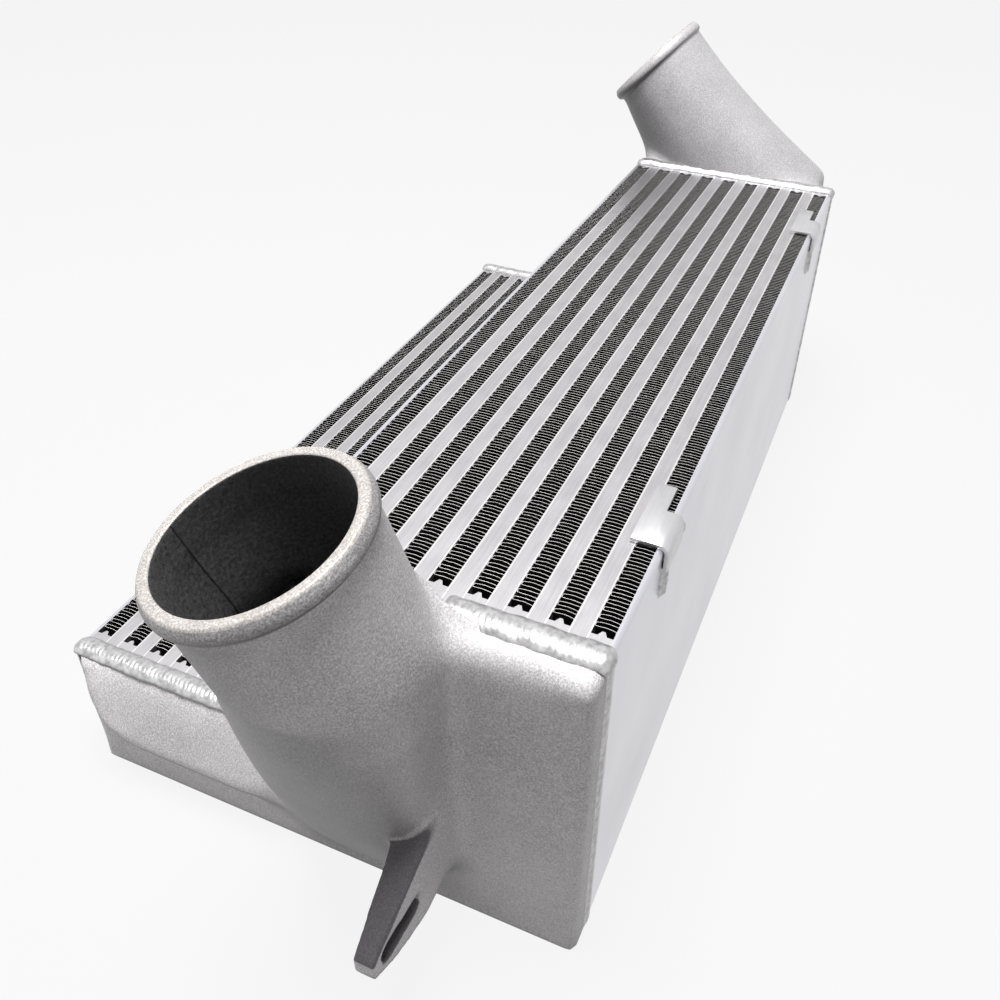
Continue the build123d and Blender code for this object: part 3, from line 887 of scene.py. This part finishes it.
def roundedPath(corners):
    # points and directions along a stepped line in Y and Z, with its corners rounded
    radius, steps = bead["cornerRadius"], bead["cornerSteps"]
    points = []
    for index, corner in enumerate(corners):
        corner = Vector(corner)
        if index in (0, len(corners) - 1):
            points.append(corner)
            continue
        start = corner + (Vector(corners[index - 1]) - corner).normalized() * radius
        end = corner + (Vector(corners[index + 1]) - corner).normalized() * radius
        for part in range(steps + 1):
            share = part / steps
            points.append(start.lerp(corner, share).lerp(corner.lerp(end, share), share))
    places, directions = [], []
    for start, end in zip(points, points[1:]):
        count = max(1, round((end - start).length / bead["step"]))
        for part in range(count):
            places.append(start.lerp(end, part / count))
            directions.append((end - start).normalized())
    places.append(points[-1])
    directions.append(directions[-1])
    smoothed = []
    for index in range(len(places)):
        around = directions[max(0, index - bead["easing"]):index + bead["easing"] + 1]
        smoothed.append(sum(around, Vector((0, 0))).normalized())
    return places, smoothed


def waver(kind, run, seed, third=0.0):
    amount, length, shift = bead[kind]
    return amount * noise.noise(Vector((run / length, seed + shift, third)))


def layBead(name, corners, centreX, halfWidth, height, side, seed, faceOut=None):
    # rippled strip along a path; side says which way the tank lies from the core
    places, directions = roundedPath(corners)
    rows = len(places)
    bpy.ops.object.select_all(action="DESELECT")
    bpy.ops.mesh.primitive_grid_add(x_subdivisions=rows - 1, y_subdivisions=bead["across"], size=1)
    piece = bpy.context.object
    piece.name = name
    travelled = [0.0]
    for start, end in zip(places, places[1:]):
        travelled.append(travelled[-1] + (end - start).length)
    for vertex in piece.data.vertices:
        row = round((vertex.co.x + 0.5) * (rows - 1))
        share = vertex.co.y * 2
        place, along, run = places[row], directions[row], travelled[row]
        out = Vector((-along.y, along.x)) if faceOut is None else Vector(faceOut)
        facing = max(0.0, out.y) if faceOut is None else 1.0
        width = halfWidth * (1 + waver("widthWaver", run, seed, share))
        width *= mixValues(bead["sideWidth"], 1, facing)
        tall = mixValues(bead["sideHeight"], height, facing)
        crown = (1 - abs(share) ** bead["crown"]) * (1 + waver("crownWaver", run, seed))
        phase = run / bead["pitch"] + waver("phaseWaver", run, seed) + bead["curve"] * share * share
        saw = phase - math.floor(phase)
        ripple = bead["ripple"] * (saw ** bead["rippleRise"] - bead["rippleLevel"])
        ripple *= bead["rippleLeast"] + fadeIn(share, bead["rippleFrom"], bead["rippleOver"])
        ripple *= (1 - abs(share) ** bead["rippleEdge"]) * mixValues(bead["sideRipple"], 1, facing)
        ends = smooth01(min(run, travelled[-1] - run) / bead["endLength"] + bead["endRise"])
        lift = (tall * crown + ripple) * ends - bead["edgeSink"] * (1 - crown)
        x = centreX + side * (share * width + waver("wander", run, seed, bead["wanderPlane"]))
        vertex.co = Vector((x, place.x + out.x * lift, place.y + out.y * lift))
    giveThickness(piece, bead["thickness"])
    faceOutward()
    shadeFaces(piece, True)
    return piece


# each tank's weld goes up the right side, over the block and the step and down the left side, and the inlet's
# is broken where the pipe's web covers the joint
weld = {
    "foot": 0.8 * mm,        # height of the ends above the underside
    "webRight": -88 * mm,
    "webLeft": -12 * mm,
    "inletRight": {"centreX": -core["halfLength"] - 0.4 * mm, "halfWidth": 7.4 * mm, "height": 2.9 * mm,
                   "side": -1, "seed": 1},
    "inletLeft": {"centreX": -core["halfLength"] - 0.6 * mm, "halfWidth": 6.4 * mm, "height": 2.3 * mm,
                  "side": -1, "seed": 2},
    "outlet": {"centreX": core["halfLength"] - 0.6 * mm, "halfWidth": 5.4 * mm, "height": 3.2 * mm,
               "side": 1, "seed": 3},
}
right, left, step = core["rightSide"], core["leftSide"], core["stepSide"]
top, thinTop = core["mainTop"], core["thinTop"]
upRight = [(right, weld["foot"]), (right, top)]
downLeft = [(step, top), (step, thinTop), (left, thinTop), (left, weld["foot"])]

inletWeld = joinPieces([
    layBead("weld_run", upRight + [(weld["webRight"], top)], **weld["inletRight"]),
    layBead("weld_run", [(weld["webLeft"], top)] + downLeft, **weld["inletLeft"]),
], "inlet_weld_bead")
settle(inletWeld, "inlet_tank_weld", "welds", "weld")
outletWeld = layBead("outlet_weld_bead", upRight + downLeft, **weld["outlet"])
settle(outletWeld, "outlet_tank_weld", "welds", "weld")
print("tank welds laid")

# hook brackets: the bent strips with their edges broken, and the short beads that hold them

bracket = {
    "names": ("bracket_near", "bracket_far"),
    "edge": 0.35 * mm,
    "edgeSteps": 2,
    "flatAngle": 2,                          # faces within this many degrees are one
    "edgeAngle": 50,
    "smoothAngle": 35,
    "bead": {"halfWidth": 3.0 * mm, "height": 2.2 * mm, "side": -1, "faceOut": (-1, 0)},
    "seeds": (20, 23),
    "legBead": (4 * mm, -1 * mm, 18 * mm),   # X from the strip's end, top and bottom below the leg's end
    "topBead": (27 * mm, 3 * mm, 12 * mm),   # the same, below the block's top
}

for name in bracket["names"]:
    hook = mergedCopy(name, f"{name}_strip")
    editAll()
    bpy.ops.mesh.dissolve_limited(angle_limit=math.radians(bracket["flatAngle"]))
    leaveEdit()
    bevel = hook.modifiers.new("broken edges", "BEVEL")
    bevel.width = bracket["edge"]
    bevel.segments = bracket["edgeSteps"]
    bevel.limit_method = "ANGLE"
    bevel.angle_limit = math.radians(bracket["edgeAngle"])
    applyModifiers(hook)
    bpy.ops.object.shade_smooth_by_angle(angle=math.radians(bracket["smoothAngle"]))
    settle(hook, name, "brackets", "bracket")

hookBeads = []
for name in bracket["names"]:
    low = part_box(name)[0]
    runs = [(low.z, *bracket["legBead"]), (top, *bracket["topBead"])]
    for seed, (level, inward, start, end) in zip(bracket["seeds"], runs):
        hookBeads.append(layBead("hook_bead", [(right, level - start), (right, level - end)],
                                 centreX=low.x + inward, seed=seed + low.x, **bracket["bead"]))
settle(joinPieces(hookBeads, "bracket_weld_beads"), "bracket_welds", "welds", "weld")
print("brackets finished")


# stage, light and camera

studio = {
    "floorCode": "#b4b4b4",
    "floorSize": 14,
    "floorWhite": 0.88,         # share of plain white that the camera sees in the floor, over its shadow
    "worldStrength": 0.10,
    "aim": Vector((0, 0, 0.1)),
    "lamps": {                  # power, size and place of each softbox; the camera's side has none
        "overhead softbox": (33.0, 0.7, (-0.16, 0.1, 1.65)),
        "left softbox": (2.0, 0.9, (-0.75, 1.35, 0.75)),
        "right softbox": (1.0, 1.0, (0.35, -1.9, 0.85)),
    },
}
white = hexColour("#ffffff")


def seenDirectly(tree):
    path = addNode(tree, "ShaderNodeLightPath")
    either = addNode(tree, "ShaderNodeMath", {"operation": "MAXIMUM"},
                     {0: path.outputs["Is Camera Ray"], 1: path.outputs["Is Glossy Ray"]})
    return addNode(tree, "ShaderNodeMath", {"operation": "MAXIMUM"},
                   {0: either.outputs[0], 1: path.outputs["Is Transmission Ray"]}).outputs[0]


# the world lights weakly, and is seen as plain white
world = bpy.data.worlds.new("studio")
bpy.context.scene.world = world
world.use_nodes = True
worldTree = world.node_tree
light = worldTree.nodes["Background"]
light.inputs["Color"].default_value = white
light.inputs["Strength"].default_value = studio["worldStrength"]
shown = addNode(worldTree, "ShaderNodeBackground", {"Color": white, "Strength": 1.0})
worldMix = addNode(worldTree, "ShaderNodeMixShader",
                   links={0: seenDirectly(worldTree), 1: light.outputs[0], 2: shown.outputs[0]})
worldTree.links.new(worldMix.outputs[0], worldTree.nodes["World Output"].inputs["Surface"])

# matt paper under the part, whitened for the camera only
bpy.ops.mesh.primitive_plane_add(size=studio["floorSize"], location=(0, 0, cadBox[0][2]))
floor = bpy.context.object
floor.name = "studio_floor"
floorMaterial = bpy.data.materials.new("pale paper sweep")
floorMaterial.use_nodes = True
floorTree = floorMaterial.node_tree
paper = floorTree.nodes["Principled BSDF"]
paper.inputs["Base Color"].default_value = hexColour(studio["floorCode"])
paper.inputs["Roughness"].default_value = 0.9
plainWhite = addNode(floorTree, "ShaderNodeEmission", {"Color": white, "Strength": 1.0})
whiteShare = addNode(floorTree, "ShaderNodeMath", {"operation": "MULTIPLY", 1: studio["floorWhite"]},
                     {0: seenDirectly(floorTree)})
floorMix = addNode(floorTree, "ShaderNodeMixShader",
                   links={0: whiteShare.outputs[0], 1: paper.outputs[0], 2: plainWhite.outputs[0]})
floorTree.links.new(floorMix.outputs[0], floorTree.nodes["Material Output"].inputs["Surface"])
floor.data.materials.append(floorMaterial)

for lampName, (power, size, place) in studio["lamps"].items():
    bpy.ops.object.light_add(type="AREA", location=place)
    lamp = bpy.context.object
    lamp.name = lampName
    lamp.data.energy = power
    lamp.data.size = size
    lamp.rotation_euler = (studio["aim"] - Vector(place)).to_track_quat("-Z", "Y").to_euler()

# the photograph's camera, in the part's frame
view = {
    "place": Vector((-497.1, -222.8, 469.4)) * mm,
    "right": Vector((0.38824, -0.92136, 0.01930)),
    "down": Vector((-0.55025, -0.24856, -0.79715)),
    "forward": Vector((0.73925, 0.29887, -0.60348)),
    "sensor": 36,
    "lens": 34.39,
    "shift": (-0.0373, -0.0357),
    "clip": (0.01, 50),
}
cameraData = bpy.data.cameras.new("photo camera")
camera = bpy.data.objects.new("photo camera", cameraData)
bpy.context.scene.collection.objects.link(camera)
turn = Matrix((view["right"], -view["down"], -view["forward"])).transposed()
camera.matrix_world = Matrix.Translation(view["place"]) @ turn.to_4x4()
cameraData.sensor_width = view["sensor"]
cameraData.lens = view["lens"]
cameraData.shift_x, cameraData.shift_y = view["shift"]
cameraData.clip_start, cameraData.clip_end = view["clip"]
bpy.context.scene.camera = camera
bpy.context.scene.view_settings.view_transform = "Standard"

bpy.ops.object.select_all(action="DESELECT")
print("scene ready")
